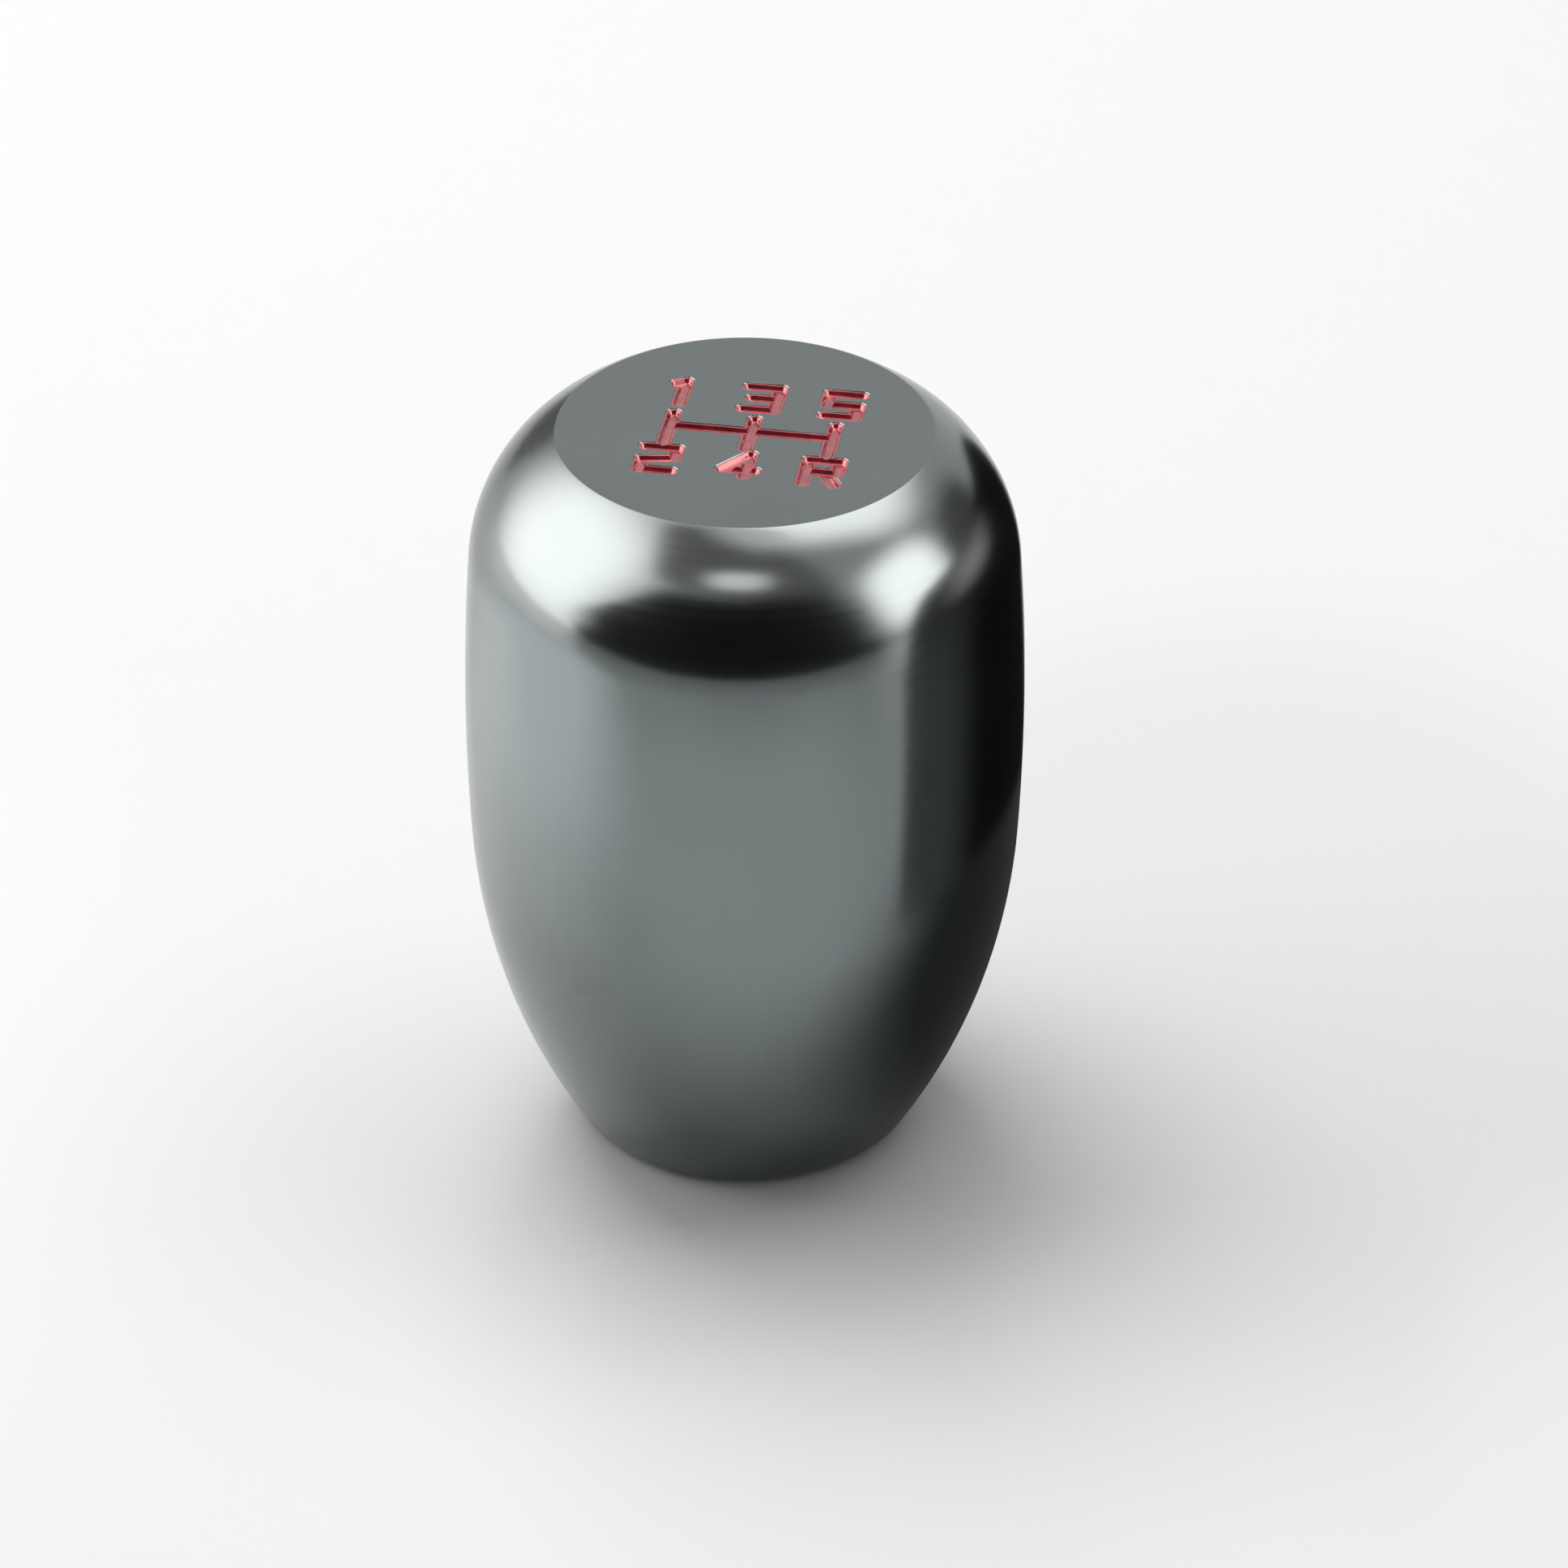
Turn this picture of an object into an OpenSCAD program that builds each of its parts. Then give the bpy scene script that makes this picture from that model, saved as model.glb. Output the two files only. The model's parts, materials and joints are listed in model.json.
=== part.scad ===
// Gear shift knob: one turned metal knob with a five-speed gate pattern engraved in its flat top
// and lined with enamel. Millimetres, base centre at the origin, +Z up the lever, +Y towards first gear.

/* [Body] */
// Diameter of the knob at its widest, the belly
body_d = 38; // [34:0.5:44]
// Height from the base to the flat top
body_h = 53.5; // [50:0.5:60]
// Height of the belly's widest point above the base
belly_z = 32.5; // [29:0.5:36]
// Radius of the long, almost straight curve of the belly
belly_r = 170; // [120:5:240]
// Radius of the shoulder that rolls over to the flat top
shoulder_r = 11.8; // [10:0.2:14]
// Radius of the curve that draws the lower body in to the base
taper_r = 47; // [40:1:56]
// Diameter of the flat top, measured to its sharp edge
top_d = 25.4; // [23:0.2:28]
// Diameter of the base, measured to its sharp edge
base_d = 22.4; // [21:0.2:26]
// Radius that breaks the edge of the flat top
rim_round = 0.3; // [0.1:0.1:0.6]
// Radius that rounds the edge of the base
base_round = 2.3; // [1:0.1:3]

/* [Lever thread] */
// Diameter of the hole drilled for the M10 x 1.5 thread
tap_drill_d = 8.5; // [6.8:0.1:10.5]
// Depth of the full-diameter hole above the base
drill_depth = 32; // [20:1:38]
// Point angle of the drill
drill_point = 118; // [90:1:140]
// Width of the 45 degree lead-in chamfer at the mouth
mouth_chamfer = 1.15; // [0.5:0.05:1.5]

/* [Gate pattern] */
// Width of a groove at the top face
groove_w = 1.1; // [0.8:0.05:1.2]
// Depth of a groove
groove_depth = 0.5; // [0.3:0.05:0.7]
// Slope of a groove's walls away from vertical, in degrees
groove_taper = 20; // [5:1:25]
// Distance between the gate's columns
gate_pitch = 5.5; // [4.8:0.1:6]
// Distance from the cross slot to the middle of each row of figures
row_y = 4.5; // [4.2:0.1:5.2]
// Overall width of a figure
figure_w = 3.2; // [2.8:0.1:3.6]
// Overall height of a figure
figure_h = 4.1; // [3.8:0.1:4.6]
// Land between the gate's legs and the figures ahead of them
leg_gap = 0.25; // [0.15:0.05:0.5]
// How far the gate's legs run into the figures behind them
leg_overlap = 0.35; // [0.2:0.05:0.5]
// Sideways place of the pattern's middle from the knob's axis
pattern_x = 0.4; // [-0.6:0.1:0.6]

/* [Enamel] */
// Thickness of the enamel at the top of a groove's wall
enamel_wall = 0.1; // [0.06:0.01:0.15]
// Thickness of the enamel on a groove's floor
enamel_floor = 0.12; // [0.06:0.01:0.15]
// Slope of the enamel's own surface, which is flatter because enamel pools in the corners
enamel_taper = 28; // [25:1:32]

/* [Hidden] */
metal = "#6f7778";
enamel = "#c3333f";

// Steps in a full circle: for the cutters, for the turned body, and for the large arcs of its side
$fn = 64;
turned_fn = 180;
side_fn = 720;

// How far a cutting tool starts outside the face that it cuts
run_in = 0.05;
// How far neighbouring lengths of the side run past their joint
lap = 1;
// How far a smaller arc stands proud of the larger one that it meets, so that the two cross cleanly
proud = 0.0005;

// The side is a chain of arcs in the plane of radius and height, each tangent to the next
belly_c = [body_d / 2 - belly_r, belly_z];
top_edge = [top_d / 2, body_h];
base_edge = [base_d / 2, 0];
shoulder_c = inner_centre(top_edge, shoulder_r, belly_c, belly_r, -1);
taper_c = inner_centre(base_edge, taper_r, belly_c, belly_r, 1);
shoulder_start = touch_point(belly_c, belly_r, shoulder_c);
taper_end = touch_point(belly_c, belly_r, taper_c);
rim_c = edge_centre(shoulder_c, shoulder_r, rim_round, body_h - rim_round);
base_c = edge_centre(taper_c, taper_r, base_round, base_round);
rim_start = touch_point(shoulder_c, shoulder_r, rim_c);
base_end = touch_point(taper_c, taper_r, base_c);

// Centre of an arc of radius r that passes through p and touches the circle (big_c, big_r) from
// inside. It lies r from p and big_r - r from big_c, and side picks one of the two such points.
function inner_centre(p, r, big_c, big_r, side) =
    let (
        gap = norm(p - big_c),
        u = (p - big_c) / gap,
        along = ((big_r - r) ^ 2 - r ^ 2 + gap ^ 2) / (2 * gap),
        across = sqrt((big_r - r) ^ 2 - along ^ 2)
    )
    big_c + along * u + side * across * [-u.y, u.x];

// Point where a circle of radius r about c touches a smaller one about inner_c, inside it
function touch_point(c, r, inner_c) = c + r * (inner_c - c) / norm(inner_c - c);

// Centre of a small rounding at height z that touches the arc (c, r) from inside
function edge_centre(c, r, round_r, z) = [c.x + sqrt((r - round_r) ^ 2 - (z - c.y) ^ 2), z];

// Each figure is drawn as the cutter moves, in a box from -1 to 1 both ways
ONE = [[[-0.45, 0.75], [0.1, 1], [0.1, -1]]];
TWO = [[[-1, 1], [1, 1], [1, 0.12], [-1, -0.12], [-1, -1], [1, -1]]];
THREE = [[[-1, 1], [1, 1], [1, -1], [-1, -1]], [[-0.6, 0], [1, 0]]];
FOUR = [[[0.5, -0.85], [0.5, 1], [-1, -0.4], [1, -0.4]]];
FIVE = [[[1, 1], [-1, 1], [-1, 0], [1, 0], [1, -1], [-1, -1]]];
REVERSE = [[[-1, -1], [-1, 1], [1, 1], [1, 0], [-1, 0]], [[0.2, 0], [1, -1]]];

// Half the box that the middle of the cutter covers in a figure
figure_reach = [figure_w - groove_w, figure_h - groove_w] / 2;

function place_figure(figure, column, row) = [
    for (line = figure) [
        for (p = line) [
            pattern_x + column * gate_pitch + p.x * figure_reach.x,
            row * row_y + p.y * figure_reach.y
        ]
    ]
];

// The cross slot and the three legs, each leg from its first-gear end to its second-gear end
gate_lines = [
    [[pattern_x - gate_pitch, 0], [pattern_x + gate_pitch, 0]],
    for (column = [-1 : 1]) [
        [pattern_x + column * gate_pitch, row_y - figure_h / 2 - leg_gap - groove_w / 2],
        [pattern_x + column * gate_pitch, groove_w / 2 - row_y + figure_h / 2 - leg_overlap]
    ]
];

pattern_lines = concat(
    gate_lines,
    place_figure(ONE, -1, 1),
    place_figure(THREE, 0, 1),
    place_figure(FIVE, 1, 1),
    place_figure(TWO, -1, -1),
    place_figure(FOUR, 0, -1),
    place_figure(REVERSE, 1, -1)
);

// One length of the side in section: the part of an arc between two heights, filled in to the axis
module side_length(c, r, low, high) {
    intersection() {
        union() {
            translate(c) circle(r, $fn = side_fn);
            translate([0, low]) square([max(c.x, run_in), high - low]);
        }
        translate([0, low]) square([body_d, high - low]);
    }
}

// Half section of the knob. Each arc runs lap past its joint, inside the larger arc that it meets.
module side_profile() {
    side_length(belly_c, belly_r, taper_end.y, shoulder_start.y);
    side_length(taper_c, taper_r + proud, base_end.y, taper_end.y + lap);
    side_length(base_c, base_round + 2 * proud, 0, base_end.y + lap);
    side_length(shoulder_c, shoulder_r + proud, shoulder_start.y - lap, rim_start.y);
    side_length(rim_c, rim_round + 2 * proud, rim_start.y - lap, body_h);
}

// Drilled hole with its cone point and the chamfer that leads the lever's thread in
module lever_hole() {
    point_h = tap_drill_d / 2 / tan(drill_point / 2);
    translate([0, 0, -run_in]) cylinder(d = tap_drill_d, h = drill_depth + run_in);
    translate([0, 0, drill_depth]) cylinder(d1 = tap_drill_d, d2 = 0, h = point_h);
    translate([0, 0, -run_in])
        cylinder(r1 = tap_drill_d / 2 + mouth_chamfer + run_in, r2 = tap_drill_d / 2, h = mouth_chamfer + run_in);
}

// What a tapered cutter sweeps along every line of the pattern. half_w is its half width at the
// top face, and it starts the height above over that face.
module sweep_pattern(half_w, depth, taper, above) {
    foot = half_w - depth * tan(taper);
    head = half_w + above * tan(taper);
    tall = depth + above;
    translate([0, 0, body_h - depth])
        for (line = pattern_lines) {
            for (p = line) translate(p) cylinder(r1 = foot, r2 = head, h = tall);
            for (i = [1 : len(line) - 1]) {
                run = line[i] - line[i - 1];
                translate(line[i - 1])
                    rotate([0, 0, atan2(run.y, run.x)])
                        rotate([90, 0, 90])
                            linear_extrude(norm(run))
                                polygon([[-foot, 0], [foot, 0], [head, tall], [-head, tall]]);
            }
        }
}

module knob_body() {
    color(metal)
        difference() {
            rotate_extrude($fn = turned_fn) side_profile();
            lever_hole();
            sweep_pattern(groove_w / 2, groove_depth, groove_taper, run_in);
        }
}

module pattern_enamel() {
    color(enamel)
        difference() {
            sweep_pattern(groove_w / 2, groove_depth, groove_taper, 0);
            sweep_pattern(groove_w / 2 - enamel_wall, groove_depth - enamel_floor, enamel_taper, run_in);
        }
}

knob_body();
pattern_enamel();
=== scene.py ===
# %% [markdown]
# # A turned gear shift knob
# The real knob is one piece of aluminium bar. A lathe turns the barrel, faces the top, and drills
# and taps the base for the lever. A small cutter then engraves the gate pattern in the top, the
# whole knob is anodised gunmetal grey, and red enamel is run into the engraving.
#
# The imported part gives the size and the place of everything. This script keeps that form and makes
# it again with a mesh fine enough to mirror a studio, because on polished metal the eye reads the
# reflections and not the colour.

# %% Load the frame
import json
import math

import bmesh
import bpy
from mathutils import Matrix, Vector

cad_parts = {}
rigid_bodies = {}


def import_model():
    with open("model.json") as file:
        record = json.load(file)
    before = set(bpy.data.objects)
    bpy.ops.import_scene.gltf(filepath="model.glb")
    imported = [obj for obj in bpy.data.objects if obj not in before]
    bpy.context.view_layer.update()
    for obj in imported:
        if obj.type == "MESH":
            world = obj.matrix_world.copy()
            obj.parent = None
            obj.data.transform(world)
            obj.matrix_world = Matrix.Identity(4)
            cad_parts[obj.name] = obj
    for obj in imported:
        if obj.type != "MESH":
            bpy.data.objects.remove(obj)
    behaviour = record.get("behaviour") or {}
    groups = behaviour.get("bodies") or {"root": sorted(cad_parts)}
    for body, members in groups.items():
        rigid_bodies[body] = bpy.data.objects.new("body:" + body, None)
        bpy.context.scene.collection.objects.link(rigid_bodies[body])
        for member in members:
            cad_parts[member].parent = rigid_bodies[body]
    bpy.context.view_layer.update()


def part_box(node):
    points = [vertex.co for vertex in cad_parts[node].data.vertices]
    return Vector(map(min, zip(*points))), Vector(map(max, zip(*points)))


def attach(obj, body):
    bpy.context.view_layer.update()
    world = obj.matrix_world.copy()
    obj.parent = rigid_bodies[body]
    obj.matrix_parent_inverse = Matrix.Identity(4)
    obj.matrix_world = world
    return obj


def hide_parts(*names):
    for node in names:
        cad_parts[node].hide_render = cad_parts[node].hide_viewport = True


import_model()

MM = 0.001
low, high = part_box("knob_body")
body_h = high.z
print("knob, mm:", [round(side / MM, 2) for side in high - low])

# %% [markdown]
# ## The camera
# The photograph looks down on the knob at 32 degrees, from a little to the right of the pattern's own
# front. The round top shows that tilt: it is seen as an ellipse. Its lens is long, so the sides
# hardly draw together. The focal length, in pixels of the photograph, came from fitting the
# outline, and the lens shift puts the knob where the photograph has it.

# %% Camera
IMAGE_PX = 1932
FOCAL_PX = 10812.6
AIM_PX = Vector((917.8, 948.8))
SENSOR = 36
CAMERA_BEARING = 9.7
CAMERA_ELEVATION = 32.2
CAMERA_DISTANCE = 600 * MM
NEAREST = 10 * MM
FARTHEST = 10000 * MM
aim = Vector((0, 0, body_h / 2))


def direction(bearing, elevation):
    """Unit vector towards a place in the studio. Bearing 0 is the camera's side, and 90 is on its right."""
    turn = math.radians(CAMERA_BEARING + bearing)
    rise = math.radians(elevation)
    return Vector((math.sin(turn) * math.cos(rise), -math.cos(turn) * math.cos(rise), math.sin(rise)))


lens = bpy.data.cameras.new("camera")
camera = bpy.data.objects.new("camera", lens)
bpy.context.scene.collection.objects.link(camera)
bpy.context.scene.camera = camera
lens.sensor_width = SENSOR
lens.lens = FOCAL_PX / IMAGE_PX * SENSOR
lens.shift_x = 0.5 - AIM_PX.x / IMAGE_PX
lens.shift_y = AIM_PX.y / IMAGE_PX - 0.5
lens.clip_start = NEAREST
lens.clip_end = FARTHEST
camera.location = aim + CAMERA_DISTANCE * direction(0, CAMERA_ELEVATION)
camera.rotation_euler = direction(0, CAMERA_ELEVATION).to_track_quat("Z", "Y").to_euler()
print("lens, mm:", round(lens.lens, 1), "shift:", round(lens.shift_x, 4), round(lens.shift_y, 4))

# %% [markdown]
# ## Helpers for materials and objects
# Colours are written as sRGB hex values, as a paint chart gives them, and a shader wants them
# linear. One function turns them. Another adds a node, sets it and links it, so that a material
# reads as a list of its nodes. The last two start a material and put a mesh in the scene.

# %% Colour, node and object helpers
WHITE = "#FFFFFF"


def linear(hex_colour):
    """An sRGB hex colour as linear red, green, blue and an alpha of 1."""
    channels = [int(hex_colour[i : i + 2], 16) / 255 for i in (1, 3, 5)]
    return [c / 12.92 if c <= 0.04045 else ((c + 0.055) / 1.055) ** 2.4 for c in channels] + [1]


def add(tree, kind, inputs=None, **settings):
    """Adds a node. inputs maps socket names or numbers to values, or to output sockets to link."""
    node = tree.nodes.new("ShaderNode" + kind)
    for name, value in settings.items():
        setattr(node, name, value)
    for name, value in (inputs or {}).items():
        if isinstance(value, bpy.types.NodeSocket):
            tree.links.new(value, node.inputs[name])
        else:
            node.inputs[name].default_value = value
    return node


def new_material(name):
    """An empty node material, with the output that its surface goes into."""
    material = bpy.data.materials.new(name)
    material.use_nodes = True
    material.node_tree.nodes.clear()
    return material, material.node_tree, add(material.node_tree, "OutputMaterial")


def new_object(bm, name):
    """Puts a bmesh in the scene as an object and frees it."""
    mesh = bpy.data.meshes.new(name)
    bm.to_mesh(mesh)
    bm.free()
    made = bpy.data.objects.new(name, mesh)
    bpy.context.scene.collection.objects.link(made)
    return made


# %% [markdown]
# ## The turned section
# On the lathe the side is a chain of arcs, each one tangent to the next: a small radius at the rim, the
# shoulder, the long belly, the taper to the base and the rounding of the base. The same few sizes
# that drive the part give their centres. In the half section x is the radius and z the height.

# %% Centres of the arcs
BELLY_D = 38 * MM
BELLY_Z = 32.5 * MM
BELLY_R = 170 * MM
SHOULDER_R = 11.8 * MM
TAPER_R = 47 * MM
TOP_D = 25.4 * MM
BASE_D = 22.4 * MM
RIM_ROUND = 0.3 * MM
BASE_ROUND = 2.3 * MM


def inner_centre(p, r, big_centre, big_r, side):
    """Centre of an arc of radius r through p that touches a larger circle from inside."""
    gap = (p - big_centre).length
    u = (p - big_centre) / gap
    along = ((big_r - r) ** 2 - r**2 + gap**2) / (2 * gap)
    across = math.sqrt((big_r - r) ** 2 - along**2)
    return big_centre + along * u + side * across * Vector((-u.z, 0, u.x))


def touch_point(centre, r, inner):
    """Point where a circle touches a smaller one inside it."""
    return centre + r * (inner - centre).normalized()


def edge_centre(centre, r, small_r, z):
    """Centre of a small rounding at height z that touches an arc from inside."""
    return Vector((centre.x + math.sqrt((r - small_r) ** 2 - (z - centre.z) ** 2), 0, z))


belly_c = Vector((BELLY_D / 2 - BELLY_R, 0, BELLY_Z))
shoulder_c = inner_centre(Vector((TOP_D / 2, 0, body_h)), SHOULDER_R, belly_c, BELLY_R, -1)
taper_c = inner_centre(Vector((BASE_D / 2, 0, 0)), TAPER_R, belly_c, BELLY_R, 1)
rim_c = edge_centre(shoulder_c, SHOULDER_R, RIM_ROUND, body_h - RIM_ROUND)
base_c = edge_centre(taper_c, TAPER_R, BASE_ROUND, BASE_ROUND)
print("shoulder centre, mm:", round(shoulder_c.x / MM, 2), round(shoulder_c.z / MM, 2))

# %% [markdown]
# ## From one vertex to a body
# Spinning a single vertex about an arc's centre draws the arc, so the section needs no list of
# points. A straight run extrudes the last vertex. The finished line is then spun once round the
# knob's axis, as the bar turns in the lathe. A step of about a third of a millimetre along the
# side keeps the reflections free of facets. A narrow flat ring inside the rim, and another at the
# base, lets the flat faces stay flat where the rounded edges are shaded smooth.

# %% Draw the section and turn it
STEP = 0.35 * MM
RIM_STEP = 0.06 * MM
LEAST_STEPS = 3
TURN_STEPS = 240
WELD = 0.0001 * MM
TAP_DRILL_R = 4.25 * MM
DRILL_DEPTH = 32 * MM
DRILL_POINT = math.radians(118)
MOUTH_CHAMFER = 1.15 * MM
SUPPORT = 0.08 * MM


def start_line(bm, x, z):
    """First vertex of a section line."""
    return bmesh.ops.create_vert(bm, co=(x, 0, z))["vert"][0]


def line_to(bm, vert, x, z):
    """Extrudes the line straight to a point."""
    vert = bmesh.ops.extrude_vert_indiv(bm, verts=[vert])["verts"][0]
    vert.co = (x, 0, z)
    return vert


def arc_to(bm, vert, centre, end, step):
    """Spins the line's last vertex round a centre until it points at end."""
    angle = (vert.co - centre).angle(end - centre)
    steps = max(LEAST_STEPS, round(angle * (vert.co - centre).length / step))
    turn = math.copysign(1, (vert.co - centre).cross(end - centre).y)
    spun = bmesh.ops.spin(bm, geom=[vert], cent=centre, axis=(0, turn, 0), angle=angle, steps=steps)
    return next(item for item in spun["geom_last"] if isinstance(item, bmesh.types.BMVert))


def turn_section(bm, steps):
    """Spins the section round the axis, closes what it leaves open and points the faces outwards."""
    section = bm.verts[:] + bm.edges[:]
    bmesh.ops.spin(
        bm, geom=section, cent=(0, 0, 0), axis=(0, 0, 1), angle=math.tau, steps=steps, use_merge=True
    )
    bmesh.ops.remove_doubles(bm, verts=bm.verts[:], dist=WELD)
    bmesh.ops.holes_fill(bm, edges=[edge for edge in bm.edges if edge.is_boundary], sides=0)
    bmesh.ops.recalc_face_normals(bm, faces=bm.faces[:])


body_mesh = bmesh.new()
rim_top = rim_c + Vector((0, 0, RIM_ROUND))
at = start_line(body_mesh, rim_top.x - SUPPORT, body_h)
at = line_to(body_mesh, at, rim_top.x, body_h)
at = arc_to(body_mesh, at, rim_c, touch_point(shoulder_c, SHOULDER_R, rim_c), RIM_STEP)
at = arc_to(body_mesh, at, shoulder_c, touch_point(belly_c, BELLY_R, shoulder_c), STEP)
at = arc_to(body_mesh, at, belly_c, touch_point(belly_c, BELLY_R, taper_c), STEP)
at = arc_to(body_mesh, at, taper_c, touch_point(taper_c, TAPER_R, base_c), STEP)
at = arc_to(body_mesh, at, base_c, base_c - Vector((0, 0, BASE_ROUND)), STEP / 2)
at = line_to(body_mesh, at, at.co.x - SUPPORT, 0)
at = line_to(body_mesh, at, TAP_DRILL_R + MOUTH_CHAMFER, 0)
at = line_to(body_mesh, at, TAP_DRILL_R, MOUTH_CHAMFER)
at = line_to(body_mesh, at, TAP_DRILL_R, DRILL_DEPTH)
line_to(body_mesh, at, 0, DRILL_DEPTH + TAP_DRILL_R / math.tan(DRILL_POINT / 2))
turn_section(body_mesh, TURN_STEPS)
print("turned body:", len(body_mesh.faces), "faces,", round(body_mesh.calc_volume() / MM**3), "mm3")
turned_knob = new_object(body_mesh, "turned_knob")

# %% [markdown]
# ## The tapped thread
# The lever screws into an M10 thread with a pitch of 1.5 mm. A tap cuts it, and its ridge is a
# 60 degree profile, flat at its crest over an eighth of the pitch, that climbs one pitch a turn.
# Spinning one small face round the axis with a rise at every step makes that ridge. Its foot lies a
# little within the drilled hole, and a boolean later takes it out of the knob. The part's own solid
# has only the drilled hole, because a thread this fine matters to the eye alone.

# %% Ridge of the tap
THREAD_R = 5 * MM
PITCH = 1.5 * MM
FLANK = math.radians(30)
INSIDE = 0.3 * MM
TAPPED_DEPTH = 26 * MM
THREAD_STEPS = 48


def tap_ridge():
    """The solid that the tap's teeth sweep: it starts a pitch below the base."""
    bm = bmesh.new()
    inner_r = TAP_DRILL_R - INSIDE
    crest = PITCH / 8 / 2
    foot = crest + (THREAD_R - inner_r) * math.tan(FLANK)
    corners = [(inner_r, -foot), (THREAD_R, -crest), (THREAD_R, crest), (inner_r, foot)]
    line = [bmesh.ops.create_vert(bm, co=(x, 0, z - PITCH))["vert"][0] for x, z in corners]
    tooth = bmesh.ops.contextual_create(bm, geom=line)["faces"]
    turns = (TAPPED_DEPTH + PITCH) / PITCH
    bmesh.ops.spin(
        bm,
        geom=tooth,
        cent=(0, 0, 0),
        axis=(0, 0, 1),
        dvec=(0, 0, PITCH / THREAD_STEPS),
        angle=turns * math.tau,
        steps=round(turns * THREAD_STEPS),
    )
    bmesh.ops.recalc_face_normals(bm, faces=bm.faces[:])
    print("thread:", round(turns, 1), "turns,", len(bm.faces), "faces")
    return new_object(bm, "tap")


tap = tap_ridge()

# %% [markdown]
# ## The gate pattern
# Each figure is a line that the engraving cutter follows. The figures are drawn in a box from -1 to
# 1 both ways, and then scaled and placed on the gate: first, third and fifth gear ahead, second,
# fourth and reverse behind.

# %% Lines of the pattern
GROOVE_W = 1.1 * MM
GATE_PITCH = 5.5 * MM
ROW_Y = 4.5 * MM
FIGURE_W = 3.2 * MM
FIGURE_H = 4.1 * MM
LEG_GAP = 0.25 * MM
LEG_OVERLAP = 0.35 * MM
PATTERN_X = 0.4 * MM

ONE = [[(-0.45, 0.75), (0.1, 1), (0.1, -1)]]
TWO = [[(-1, 1), (1, 1), (1, 0.12), (-1, -0.12), (-1, -1), (1, -1)]]
THREE = [[(-1, 1), (1, 1), (1, -1), (-1, -1)], [(-0.6, 0), (1, 0)]]
FOUR = [[(0.5, -0.85), (0.5, 1), (-1, -0.4), (1, -0.4)]]
FIVE = [[(1, 1), (-1, 1), (-1, 0), (1, 0), (1, -1), (-1, -1)]]
REVERSE = [[(-1, -1), (-1, 1), (1, 1), (1, 0), (-1, 0)], [(0.2, 0), (1, -1)]]
GEARS = {(-1, 1): ONE, (0, 1): THREE, (1, 1): FIVE, (-1, -1): TWO, (0, -1): FOUR, (1, -1): REVERSE}

reach_x = (FIGURE_W - GROOVE_W) / 2
reach_y = (FIGURE_H - GROOVE_W) / 2


def gate_point(column, y, x=0.0):
    """A point of the pattern: x is its place across, from the column's own line."""
    return Vector((PATTERN_X + column * GATE_PITCH + x, y, 0))


leg_ahead = ROW_Y - FIGURE_H / 2 - LEG_GAP - GROOVE_W / 2
leg_behind = GROOVE_W / 2 - ROW_Y + FIGURE_H / 2 - LEG_OVERLAP
pattern = [[gate_point(-1, 0), gate_point(1, 0)]]
for column in (-1, 0, 1):
    pattern.append([gate_point(column, leg_ahead), gate_point(column, leg_behind)])
for (column, row), figure in GEARS.items():
    for line in figure:
        pattern.append([gate_point(column, row * ROW_Y + y * reach_y, x * reach_x) for x, y in line])
print("pattern:", len(pattern), "lines,", sum(len(line) - 1 for line in pattern), "strokes")

# %% [markdown]
# ## The engraving cutter
# A ball or V cutter is a little solid of revolution. It plunges at the start of a stroke and runs
# to its end. The mesh does the same: it is turned where the stroke starts, and then the half of it that
# faces the way it runs is moved on to the end. All strokes are joined by a boolean union, so that
# corners and crossings come out clean. Where two solids meet at a shallow angle a boolean leaves
# slivers, and merging the vertices closer than two thousandths of a millimetre takes them away.

# %% Sweep a cutter along the pattern
CUTTER_STEPS = 40
SLIVER = 0.002 * MM


def merge_solids(parts, operation):
    """Joins the later solids to the first, or cuts them out of it, and deletes them."""
    first, *others = parts
    for other in others:
        step = first.modifiers.new("boolean", "BOOLEAN")
        step.object = other
        step.operation = operation
        step.solver = "MANIFOLD"
    shape = bpy.data.meshes.new_from_object(first.evaluated_get(bpy.context.evaluated_depsgraph_get()))
    bm = bmesh.new()
    bm.from_mesh(shape)
    bmesh.ops.remove_doubles(bm, verts=bm.verts[:], dist=SLIVER)
    bm.to_mesh(shape)
    bm.free()
    first.modifiers.clear()
    first.data = shape
    for other in others:
        bpy.data.objects.remove(other)
    return first


def join_strokes(name, draw_section):
    """One solid of all strokes, cut by a cutter whose half section draw_section makes."""
    parts = []
    for line in pattern:
        for start, end in zip(line, line[1:]):
            bm = bmesh.new()
            draw_section(bm)
            turn_section(bm, CUTTER_STEPS)
            run = end - start
            ahead = [vert for vert in bm.verts if vert.co.dot(run) > 0]
            bmesh.ops.translate(bm, verts=ahead, vec=run)
            bmesh.ops.translate(bm, verts=bm.verts[:], vec=start)
            parts.append(new_object(bm, name))
    return merge_solids(parts, "UNION")


# %% [markdown]
# ## Cut the grooves
# A groove is 1.1 mm wide and half a millimetre deep, and its walls lean out by 20 degrees, as the
# flank of the cutter does. The floor's corners have the cutter's small nose radius. The mouth is
# broken by a few hundredths of a millimetre, because polishing never leaves an edge razor sharp.
# That break catches the thin light line that outlines each stroke.

# %% Groove section and cut
GROOVE_DEPTH = 0.5 * MM
GROOVE_LEAN = math.radians(20)
NOSE_R = 0.1 * MM
EDGE_BREAK = 0.04 * MM
ABOVE = 0.2 * MM


def half_width(top_half, lean, depth):
    """Half width, at a depth under the top face, of a groove whose walls lean."""
    return top_half - depth * math.tan(lean)


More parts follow.
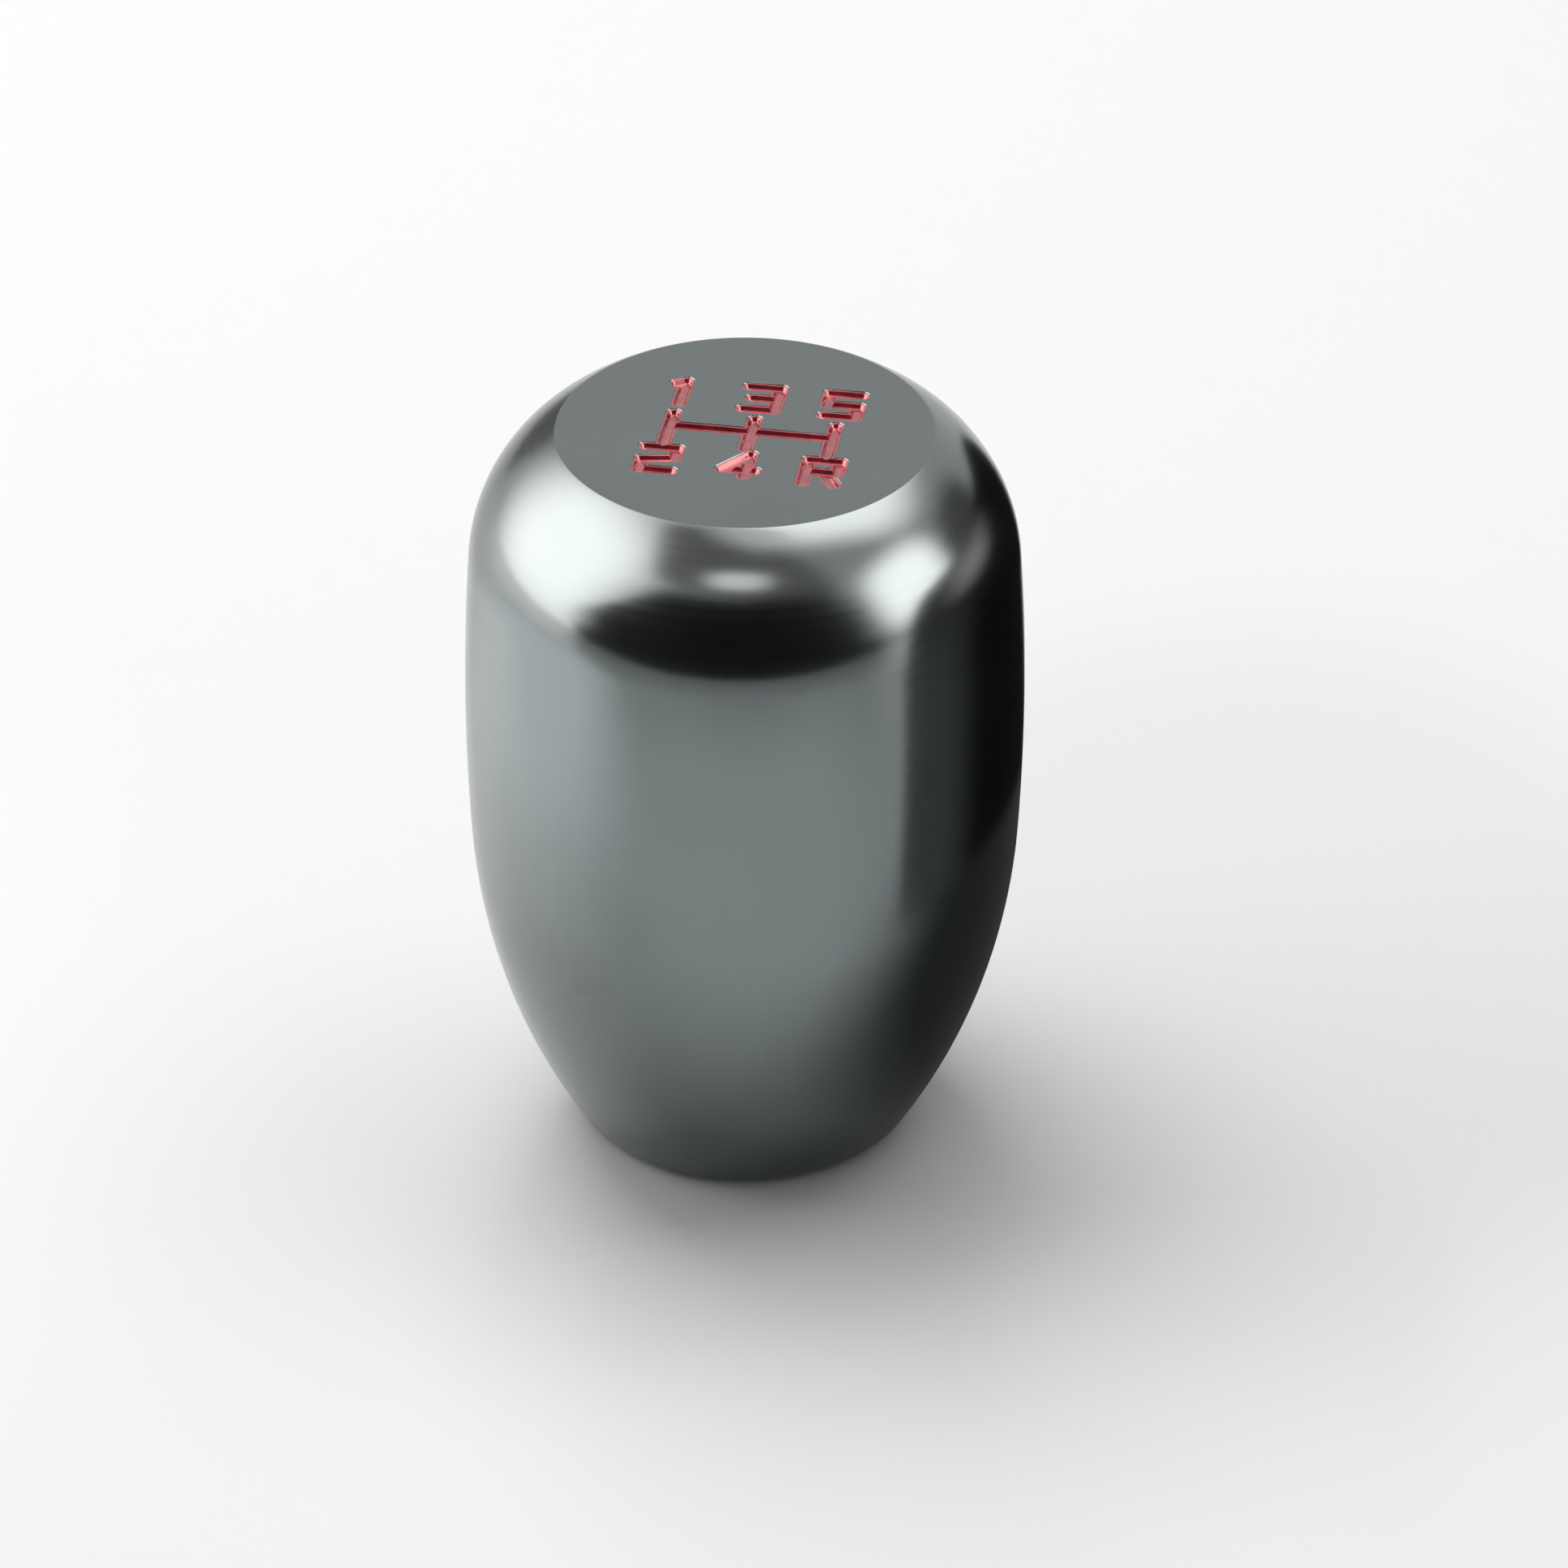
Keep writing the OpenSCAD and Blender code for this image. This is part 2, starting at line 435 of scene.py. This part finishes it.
def round_nose(bm, top_half, lean, depth, nose_r):
    """Draws half of a leaning cutter's rounded nose. Returns the vertex where its flank starts."""
    x = half_width(top_half, lean, depth) - nose_r * math.tan(math.pi / 4 - lean / 2)
    centre = Vector((x, 0, body_h - depth + nose_r))
    at = start_line(bm, x, body_h - depth)
    return arc_to(bm, at, centre, centre + Vector((math.cos(lean), 0, -math.sin(lean))), nose_r / 4)


def groove_section(bm):
    """Half section of the engraving cutter, whose head breaks the mouth's edge at 45 degrees."""
    at = round_nose(bm, GROOVE_W / 2, GROOVE_LEAN, GROOVE_DEPTH, NOSE_R)
    at = line_to(bm, at, half_width(GROOVE_W / 2, GROOVE_LEAN, EDGE_BREAK), body_h - EDGE_BREAK)
    line_to(bm, at, at.co.x + EDGE_BREAK + ABOVE, body_h + ABOVE)


groove_cutter = join_strokes("groove_cutter", groove_section)
print("groove cutter:", len(groove_cutter.data.polygons), "faces")

# %% [markdown]
# ## The enamel
# Enamel is run into the grooves as a liquid and draws back as it cures. It wets the walls almost to
# the top, where it ends in a small round lip, and it pools in the corners of the floor. Its surface
# therefore leans more than the wall behind it. The solid is the filled groove without that trough:
# its outer face lies on the metal, and its inner face is what shows.

# %% Enamel in the grooves
ENAMEL_WALL = 0.1 * MM
ENAMEL_FLOOR = 0.12 * MM
ENAMEL_LEAN = math.radians(28)
ENAMEL_DROP = 0.05 * MM
POOL_R = 0.14 * MM
LIP_R = 0.08 * MM


def trough_section(bm):
    """Half section of the enamel's own surface: floor, pooled corner, flank, lip and a flat rim."""
    top_half = GROOVE_W / 2 - ENAMEL_WALL
    at = round_nose(bm, top_half, ENAMEL_LEAN, GROOVE_DEPTH - ENAMEL_FLOOR, POOL_R)
    lip_depth = ENAMEL_DROP + LIP_R * (1 - math.sin(ENAMEL_LEAN))
    at = line_to(bm, at, half_width(top_half, ENAMEL_LEAN, lip_depth), body_h - lip_depth)
    lip_c = Vector((at.co.x + LIP_R * math.cos(ENAMEL_LEAN), 0, body_h - ENAMEL_DROP - LIP_R))
    at = arc_to(bm, at, lip_c, lip_c + Vector((0, 0, LIP_R)), LIP_R / 4)
    at = line_to(bm, at, GROOVE_W / 2 + EDGE_BREAK, body_h - ENAMEL_DROP)
    line_to(bm, at, at.co.x, body_h + ABOVE)


def fill_section(bm):
    """Half section of the groove filled up to its broken edge."""
    at = round_nose(bm, GROOVE_W / 2, GROOVE_LEAN, GROOVE_DEPTH, NOSE_R)
    line_to(bm, at, half_width(GROOVE_W / 2, GROOVE_LEAN, EDGE_BREAK), body_h - EDGE_BREAK)


enamel = join_strokes("gate_enamel", fill_section)
trough = join_strokes("trough", trough_section)
merge_solids([turned_knob, groove_cutter, tap], "DIFFERENCE")
merge_solids([enamel, trough], "DIFFERENCE")
print("knob:", len(turned_knob.data.polygons), "faces; enamel:", len(enamel.data.polygons), "faces")

# %% [markdown]
# ## Smooth shading
# Smooth shading blends the faces of the barrel into one surface. Edges sharper than 30 degrees stay
# crisp, which keeps the grooves and the thread. Weighted normals let large faces win over small
# ones, so that the flat top stays flat in the mirror right up to its rim.

# %% Shade the pieces
SHARP = math.radians(30)
for piece in (turned_knob, enamel):
    piece.data.shade_smooth()
    piece.data.set_sharp_from_angle(angle=SHARP)
    weighted = piece.modifiers.new("weighted normals", "WEIGHTED_NORMAL")
    weighted.keep_sharp = True

# %% [markdown]
# ## Anodised aluminium
# The bar is polished and then anodised: a clear, dyed oxide layer a hundredth of a millimetre thick
# turns the bright metal gunmetal grey. It stays a metal to the eye, with reflections in its own
# colour. Polishing on the lathe leaves rings that spread a highlight along the axis more than
# around it, so the shader is a little anisotropic about Z. The rings themselves are a few hundredths
# of a millimetre apart. They are drawn at a third of a millimetre, so that a close view shows them as
# a faint grain in the gloss. The oxide is never quite even either: a slow cloud in the colour and the
# roughness keeps the finish from looking like plastic.

# %% Anodised aluminium material
GUNMETAL = "#6F7676"
GUNMETAL_DEEP = "#697070"
CLOUD_SIZE = 9 * MM
RING_SIZE = 0.35 * MM
RING_HEIGHT = 0.0004 * MM
NOISE_LOW = 0.3
NOISE_HIGH = 0.7
GLOSS_BEST = 0.16
GLOSS_WORST = 0.2
GRAIN = 0.012


def anodised_aluminium():
    """Polished metal with a cloud in its tone and gloss, and turned rings round the knob's axis."""
    material, tree, output = new_material("anodised_aluminium")
    place = add(tree, "TexCoord").outputs["Object"]
    cloud = add(tree, "TexNoise", {"Vector": place, "Scale": 1 / CLOUD_SIZE, "Detail": 3.0})
    tint = add(tree, "Mix", {0: cloud.outputs[0]}, data_type="RGBA")
    tint.inputs[6].default_value = linear(GUNMETAL_DEEP)
    tint.inputs[7].default_value = linear(GUNMETAL)
    split = add(tree, "SeparateXYZ", {0: place})
    flat = add(tree, "CombineXYZ", {0: split.outputs[0], 1: split.outputs[1]})
    radius = add(tree, "VectorMath", {0: flat.outputs[0]}, operation="LENGTH")
    turned = add(tree, "CombineXYZ", {0: radius.outputs["Value"], 2: split.outputs[2]})
    rings = add(tree, "TexNoise", {"Vector": turned.outputs[0], "Scale": 1 / RING_SIZE, "Detail": 2.0})
    span = {1: NOISE_LOW, 2: NOISE_HIGH}
    haze = add(tree, "MapRange", {0: cloud.outputs[0], **span, 3: GLOSS_BEST, 4: GLOSS_WORST})
    grain = add(tree, "MapRange", {0: rings.outputs[0], **span, 3: -GRAIN, 4: GRAIN})
    gloss = add(tree, "Math", {0: haze.outputs[0], 1: grain.outputs[0]})
    relief = add(tree, "Bump", {"Height": rings.outputs[0], "Distance": RING_HEIGHT})
    around = add(tree, "Tangent", direction_type="RADIAL", axis="Z")
    metal = add(
        tree,
        "BsdfPrincipled",
        {
            "Base Color": tint.outputs[2],
            "Metallic": 1.0,
            "Roughness": gloss.outputs[0],
            "Anisotropic": 0.3,
            "Normal": relief.outputs[0],
            "Tangent": around.outputs[0],
        },
    )
    tree.links.new(metal.outputs[0], output.inputs[0])
    return material


# %% [markdown]
# ## Red enamel
# The enamel is a translucent red resin over the bright cut metal. Part of the light comes back from
# the colour itself and part from the metal under it, so the red is about half a metal: deep where
# it mirrors something dark, and salmon where it mirrors a light. A clear, hard gloss lies over it,
# which gives the white glints at the ends of the strokes. Where the resin ran it is a little
# thicker, and there the red is deeper.

# %% Red enamel material
ENAMEL_RED = "#AA303B"
ENAMEL_DEEP = "#87202A"
RUN_SIZE = 0.8 * MM
RUN_EDGES = (0.35, 0.65)


def red_enamel():
    """Half metal, half colour, under a clear gloss, and deeper in tone where the enamel ran."""
    material, tree, output = new_material("red_enamel")
    place = add(tree, "TexCoord").outputs["Object"]
    runs = add(tree, "TexNoise", {"Vector": place, "Scale": 1 / RUN_SIZE, "Detail": 2.0})
    thick = add(tree, "MapRange", {0: runs.outputs[0], 1: RUN_EDGES[0], 2: RUN_EDGES[1]})
    body = add(tree, "Mix", {0: thick.outputs[0]}, data_type="RGBA")
    body.inputs[6].default_value = linear(ENAMEL_DEEP)
    body.inputs[7].default_value = linear(ENAMEL_RED)
    paint = add(
        tree,
        "BsdfPrincipled",
        {
            "Base Color": body.outputs[2],
            "Metallic": 0.5,
            "Roughness": 0.2,
            "Coat Weight": 1.0,
            "Coat Roughness": 0.04,
            "Coat IOR": 1.5,
        },
    )
    tree.links.new(paint.outputs[0], output.inputs[0])
    return material


# %% [markdown]
# ## Join the pieces to the part
# Each piece gets its own material, and the node of the part that it stands in for is hidden. The knob
# is one rigid body, so both pieces ride on the root.

# %% Dress the pieces and join them to the frame
turned_knob.data.materials.clear()
turned_knob.data.materials.append(anodised_aluminium())
enamel.data.materials.clear()
enamel.data.materials.append(red_enamel())
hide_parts("knob_body")
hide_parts("pattern_enamel")
for piece in (turned_knob, enamel):
    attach(piece, "root")

# %% [markdown]
# ## The studio
# A polished barrel shows its whole surroundings, so the studio is built for the metal: a glossy pale
# table in a white room. The room is seen at full white, by the camera and in reflections alike, but
# it lights matt surfaces only a little. That light is left to the lamps at the end, which are set at
# a plain level, so that the colours come out as they are written.

# %% Floor and room
FLOOR_R = 600 * MM
FLOOR_WHITE = "#EEEEEE"

floor_mesh = bmesh.new()
bmesh.ops.create_circle(floor_mesh, cap_ends=True, segments=96, radius=FLOOR_R)
floor = new_object(floor_mesh, "floor")
material, tree, output = new_material("pale_table")
table = add(tree, "BsdfPrincipled", {"Base Color": linear(FLOOR_WHITE), "Roughness": 0.25, "IOR": 1.45})
tree.links.new(table.outputs[0], output.inputs[0])
floor.data.materials.append(material)

ROOM_WHITE = 1.0
ROOM_FILL = 0.28
world = bpy.data.worlds.new("room")
bpy.context.scene.world = world
world.use_nodes = True
tree = world.node_tree
tree.nodes.clear()
rays = add(tree, "LightPath").outputs
seen = rays["Is Camera Ray"]
for kind in ("Is Glossy Ray", "Is Transmission Ray"):
    seen = add(tree, "Math", {0: seen, 1: rays[kind]}, operation="MAXIMUM").outputs[0]
level = add(tree, "MapRange", {0: seen, 3: ROOM_FILL, 4: ROOM_WHITE})
room = add(tree, "Background", {"Strength": level.outputs[0]})
room.inputs["Color"].default_value = (1, 1, 1, 1)
tree.links.new(room.outputs[0], add(tree, "OutputWorld").inputs[0])

# %% [markdown]
# ## Softboxes, cards and painted light and shadow on the table
# What the metal mirrors is a large softbox on the left, a smaller one on the right, a window and a
# light overhead, and a few grey and black cards. On the table lie three glowing sheets: two are painted
# light where the lamps would light the table, and a dark one is painted shadow on the table to the right.
# Only reflections see them. Each is one square whose emission fades to a soft, rounded edge by its own
# Object coordinates, brightest in the middle as a softbox is. Bearings go round from the camera, and a
# panel's size is the angle that it fills, because the angle is all that a small mirror can tell. A
# sheet lies on the table and is given in millimetres, because the knob stands right beside it. The
# panels are a touch warm, which offsets the slight green of the gunmetal.

# %% Panels and sheets that the metal mirrors
LAMP_TINT = "#FFF8F5"
ROUNDED = 3.0
BOXY = 6.0


def only_reflected(made):
    """Marks a studio object that cameras and matt surfaces don't see."""
    made.visible_camera = False
    made.visible_diffuse = False
    made.visible_shadow = False


def glow(name, level, fade, tint=WHITE):
    """A material that shines at a level and fades to clear. fade makes its mask from coordinates."""
    material, tree, output = new_material(name)
    mask = fade(tree, add(tree, "SeparateXYZ", {0: add(tree, "TexCoord").outputs["Object"]}).outputs)
    light = add(tree, "Emission", {"Color": linear(tint), "Strength": level})
    clear = add(tree, "BsdfTransparent")
    both = add(tree, "MixShader", {0: mask, 1: clear.outputs[0], 2: light.outputs[0]})
    tree.links.new(both.outputs[0], output.inputs[0])
    return material


def round_fade(soft, square):
    """Fades a square to its edge over the share soft. With a square of 2 it is round, with 6 a box."""

    def fade(tree, place):
        powers = []
        for axis in (0, 1):
            side = add(tree, "Math", {0: place[axis]}, operation="ABSOLUTE")
            powers.append(add(tree, "Math", {0: side.outputs[0], 1: square}, operation="POWER").outputs[0])
        total = add(tree, "Math", {0: powers[0], 1: powers[1]})
        reach = add(tree, "Math", {0: total.outputs[0], 1: 1 / square}, operation="POWER")
        edge = add(tree, "MapRange", {0: reach.outputs[0], 1: 1 - soft, 2: 1.0, 3: 1.0, 4: 0.0})
        edge.interpolation_type = "SMOOTHSTEP"
        return edge.outputs[0]

    return fade


def card(name, wide, tall, level, soft, square=ROUNDED, tint=WHITE):
    """A flat card with soft, rounded edges, that lies at the origin and faces up."""
    bm = bmesh.new()
    bmesh.ops.create_grid(bm, x_segments=1, y_segments=1, size=1)
    made = new_object(bm, name)
    made.scale = (wide / 2, tall / 2, 1)
    made.data.materials.append(glow(name, level, round_fade(soft, square), tint))
    only_reflected(made)
    return made


def panel(name, bearing, elevation, wide, tall, level, soft, distance, square=ROUNDED):
    """A card that faces the knob and fills wide by tall degrees."""
    sides = [2 * distance * math.tan(math.radians(span / 2)) for span in (wide, tall)]
    made = card(name, *sides, level, soft, square, LAMP_TINT)
    towards = direction(bearing, elevation)
    made.location = aim + distance * towards
    made.rotation_euler = towards.to_track_quat("Z", "Y").to_euler()


def sheet(name, bearing, reach, wide, deep, level, soft, height):
    """A card that lies on the table, its middle at reach from the knob's axis."""
    made = card(name, wide, deep, level, soft)
    made.location = reach * direction(bearing, 0) + Vector((0, 0, height))
    made.rotation_euler.z = math.radians(CAMERA_BEARING + bearing)


# %% Set out the panels and the sheets
# A panel has its bearing and elevation, width and height, level, softness and distance.
# A sheet has its bearing and reach, width and depth, level, softness and height over the table.
panel("softbox_left", -95, 27, 95, 104, 6.1, 0.8, 900 * MM)
panel("softbox_right", 77, 20, 50, 53, 6.0, 0.6, 900 * MM)
panel("softbox_high", 121, 65, 56, 64, 5.3, 0.7, 800 * MM)
panel("lamp_overhead", 50, 84, 34, 34, 2.4, 0.8, 850 * MM)
panel("window", -4, 53, 30, 15, 3.5, 0.6, 850 * MM)
panel("grey_ceiling", -35, 64, 120, 44, 0.34, 0.3, 1100 * MM)
panel("back_card_left", -155, 4, 26, 40, 0.25, 0.4, 700 * MM)
panel("back_card_right", 116, 13, 44, 42, 0.2, 0.5, 950 * MM)
panel("small_reflector", 90, 29, 42, 19, 0.95, 1.0, 46 * MM)
# Painted light: these two glowing sheets stand in for the table where the lamps light it, as the metal
# mirrors it.
sheet("painted_light_on_table_front", 0, 69 * MM, 200 * MM, 114 * MM, 1.2, 0.7, 0.2 * MM)
sheet("painted_light_on_table_left", -86, 118 * MM, 172 * MM, 180 * MM, 2.15, 0.6, 0.3 * MM)
# Painted shadow: this dark sheet stands in for the shadow on the table to the knob's right, as the metal
# mirrors it.
sheet("painted_shadow_on_table_right", 118, 39 * MM, 110 * MM, 98 * MM, 0.06, 0.48, 0.4 * MM)
panel("table_edge", -7, 0, 127, 15, 0.02, 0.08, 222 * MM, BOXY)

# %% [markdown]
# ## Curved cards
# The dark room behind the camera and the black card on the right stand on the table and bend round
# the knob, so that each fills a band of bearings at one distance. A vertical edge spun part of the
# way round the axis makes such a card. The black card is close by. It draws the dark band down
# the right of the barrel, and a dim card just inside it lets the band's left half glow faintly.

# %% Curved cards
BEND_STEPS = 48


def curtain(name, first, last, distance, tall, level, soft, square, fade_from=-1.0):
    """A card that stands on the table, curved round the knob between two bearings.

    It fades to both ends, or with a fade_from of 0 only to its last one.
    """
    bm = bmesh.new()
    foot = bmesh.ops.create_vert(bm, co=distance * direction(first, 0))["vert"][0]
    head = bmesh.ops.extrude_vert_indiv(bm, verts=[foot])["verts"][0]
    head.co.z = tall
    angle = math.radians(last - first)
    upright = bm.verts[:] + bm.edges[:]
    bmesh.ops.spin(bm, geom=upright, cent=(0, 0, 0), axis=(0, 0, 1), angle=angle, steps=BEND_STEPS)
    made = new_object(bm, name)
    start = math.radians(CAMERA_BEARING + first - 90)

    def fade(tree, place):
        round_axis = add(tree, "Math", {0: place[1], 1: place[0]}, operation="ARCTAN2")
        across = {0: round_axis.outputs[0], 1: start, 2: start + angle, 3: fade_from, 4: 1.0}
        along = add(tree, "MapRange", across, clamp=False)
        up = add(tree, "MapRange", {0: place[2], 1: 0.0, 2: tall, 3: 0.0, 4: 1.0}, clamp=False)
        return round_fade(soft, square)(tree, (along.outputs[0], up.outputs[0]))

    made.data.materials.append(glow(name, level, fade))
    only_reflected(made)


curtain("dark_room", -78, 62, 1000 * MM, 1050 * MM, 0.02, 0.25, ROUNDED)
curtain("black_card", 54.5, 147, 50 * MM, 58 * MM, 0.01, 0.06, BOXY)
curtain("dim_card", 56, 95, 49 * MM, 58 * MM, 0.17, 0.62, 4.0, fade_from=0.0)

# %% [markdown]
# ## Lamps
# The table and the coloured body of the enamel are lit by three broad area lamps. Reflections don't
# show them, so they can be turned up or down without changing what the metal mirrors. The key lamp
# stands behind the knob, and its shadow falls towards the camera and to the right.

# %% Lamps for the matt surfaces
def lamp(name, bearing, elevation, size, watts, distance=700 * MM):
    """A square area lamp that reflections don't show."""
    light = bpy.data.lights.new(name, "AREA")
    light.energy = watts
    light.size = size
    made = bpy.data.objects.new(name, light)
    bpy.context.scene.collection.objects.link(made)
    made.location = aim + distance * direction(bearing, elevation)
    made.rotation_euler = direction(bearing, elevation).to_track_quat("Z", "Y").to_euler()
    made.visible_glossy = False


lamp("lamp_key", -150, 64, 500 * MM, 3.4)
lamp("lamp_left", -95, 35, 400 * MM, 0.9)
lamp("lamp_high", 110, 65, 400 * MM, 1.0)

# %% [markdown]
# ## Finish
# The colours are shown by the Standard view transform, which leaves them as they were written.

# %% View transform
bpy.context.scene.view_settings.view_transform = "Standard"
